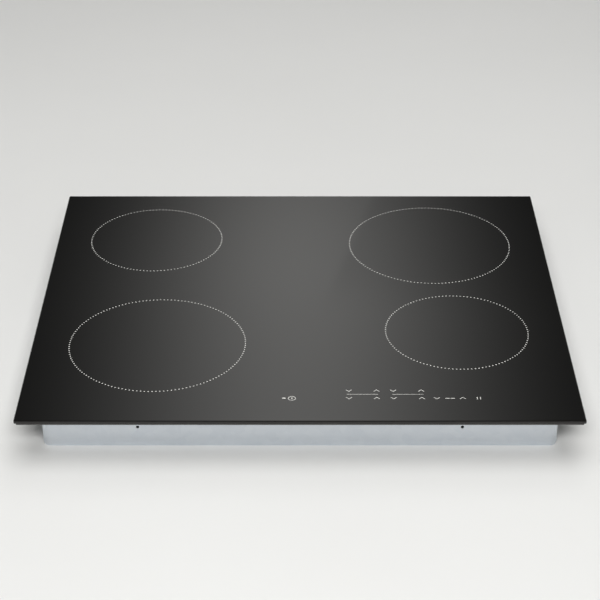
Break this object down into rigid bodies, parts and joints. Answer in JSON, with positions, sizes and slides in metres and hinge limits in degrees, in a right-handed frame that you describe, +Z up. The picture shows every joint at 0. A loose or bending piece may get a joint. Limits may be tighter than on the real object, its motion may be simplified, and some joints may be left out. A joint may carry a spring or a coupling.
{
  "type": "induction hob",
  "caption": "Built-in electric induction hob: a bevelled black glass top over a shallow steel pan, with sprung coils, blowers, touch controls and a rear mains terminal.",
  "frame": {"origin": "underside of the base pan, under the middle of the glass", "axes": "+X to the right and along the glass's width, +Y from the front edge with the touch controls to the rear, +Z up out of the cooking surface"},
  "size_m": [0.595, 0.52, 0.052],
  "materials": {
    "black_glass": "polished black glass ceramic, opaque seen from above",
    "grey_foam": "dark grey closed-cell foam strip",
    "silicone": "cured silicone bead",
    "zinc_steel": "pressed zinc-coated sheet steel, fine satin",
    "aluminium": "mill-finish sheet and extrusion",
    "black_plastic": "moulded glass-filled nylon",
    "copper_litz": "varnished copper strand",
    "mica": "pressed mica sheet",
    "ferrite": "ground sintered ferrite",
    "white_silicone": "moulded silicone",
    "spring_steel": "drawn wire",
    "circuit_board": "solder-masked laminate",
    "beige_plastic": "moulded polyamide",
    "capacitor_case": "potted film capacitor case",
    "screw_steel": "zinc-plated screw"
  },
  "bodies": {
    "housing": {"base_pan": "zinc_steel", "board_tray": "black_plastic", "cable_clamp": "beige_plastic", "coil_tray": "aluminium", "control_board": "circuit_board", "control_carrier": "black_plastic", "fan_shroud_left": "black_plastic", "fan_shroud_right": "black_plastic", "filter_capacitor": "capacitor_case", "filter_choke": "copper_litz", "glass_bond": "silicone", "glass_top": "black_glass", "heat_sink_left": "aluminium", "heat_sink_right": "aluminium", "inverter_board_left": "circuit_board", "inverter_board_right": "circuit_board", "key_frame": "black_plastic", "mounting_frame": "zinc_steel", "rim_seal": "grey_foam", "side_screw_left_front": "screw_steel", "side_screw_left_rear": "screw_steel", "side_screw_right_front": "screw_steel", "side_screw_right_rear": "screw_steel", "spring_front_left_1": "spring_steel", "spring_front_left_2": "spring_steel", "spring_front_left_3": "spring_steel", "spring_front_right_1": "spring_steel", "spring_front_right_2": "spring_steel", "spring_front_right_3": "spring_steel", "spring_rear_left_1": "spring_steel", "spring_rear_left_2": "spring_steel", "spring_rear_left_3": "spring_steel", "spring_rear_right_1": "spring_steel", "spring_rear_right_2": "spring_steel", "spring_rear_right_3": "spring_steel", "terminal_block": "beige_plastic", "terminal_box": "black_plastic"},
    "coil_front_left": {"winding_front_left": "copper_litz", "coil_carrier_front_left": "black_plastic", "ferrites_front_left": "ferrite", "mica_disc_front_left": "mica", "sensor_front_left": "white_silicone"},
    "coil_front_right": {"winding_front_right": "copper_litz", "coil_carrier_front_right": "black_plastic", "ferrites_front_right": "ferrite", "mica_disc_front_right": "mica", "sensor_front_right": "white_silicone"},
    "coil_rear_left": {"winding_rear_left": "copper_litz", "coil_carrier_rear_left": "black_plastic", "ferrites_rear_left": "ferrite", "mica_disc_rear_left": "mica", "sensor_rear_left": "white_silicone"},
    "coil_rear_right": {"winding_rear_right": "copper_litz", "coil_carrier_rear_right": "black_plastic", "ferrites_rear_right": "ferrite", "mica_disc_rear_right": "mica", "sensor_rear_right": "white_silicone"},
    "fan_left": {"fan_rotor_left": "black_plastic"},
    "fan_right": {"fan_rotor_right": "black_plastic"},
    "cover": {"terminal_cover": "black_plastic"}
  },
  "joints": [
    {"name": "coil_float_front_left", "type": "slide", "parent": "housing", "child": "coil_front_left", "axis": [0, 0, 1], "range_m": [-0.003, 0], "stiffness_N_per_m": 3000, "springref_m": 0.006, "deforming": ["spring_front_left_1", "spring_front_left_2", "spring_front_left_3"]},
    {"name": "coil_float_front_right", "type": "slide", "parent": "housing", "child": "coil_front_right", "axis": [0, 0, 1], "range_m": [-0.003, 0], "stiffness_N_per_m": 3000, "springref_m": 0.006, "deforming": ["spring_front_right_1", "spring_front_right_2", "spring_front_right_3"]},
    {"name": "coil_float_rear_left", "type": "slide", "parent": "housing", "child": "coil_rear_left", "axis": [0, 0, 1], "range_m": [-0.003, 0], "stiffness_N_per_m": 3000, "springref_m": 0.006, "deforming": ["spring_rear_left_1", "spring_rear_left_2", "spring_rear_left_3"]},
    {"name": "coil_float_rear_right", "type": "slide", "parent": "housing", "child": "coil_rear_right", "axis": [0, 0, 1], "range_m": [-0.003, 0], "stiffness_N_per_m": 3000, "springref_m": 0.006, "deforming": ["spring_rear_right_1", "spring_rear_right_2", "spring_rear_right_3"]},
    {"name": "fan_spin_left", "type": "hinge", "parent": "housing", "child": "fan_left", "pos_m": [-0.137, -0.13, 0.016], "axis": [0, 0, 1], "continuous": true},
    {"name": "fan_spin_right", "type": "hinge", "parent": "housing", "child": "fan_right", "pos_m": [0.137, -0.13, 0.016], "axis": [0, 0, 1], "continuous": true},
    {"name": "cover_hinge", "type": "hinge", "parent": "housing", "child": "cover", "pos_m": [0.02, 0.2346, 0.0247], "axis": [1, 0, 0], "range_deg": [0, 85]}
  ]
}
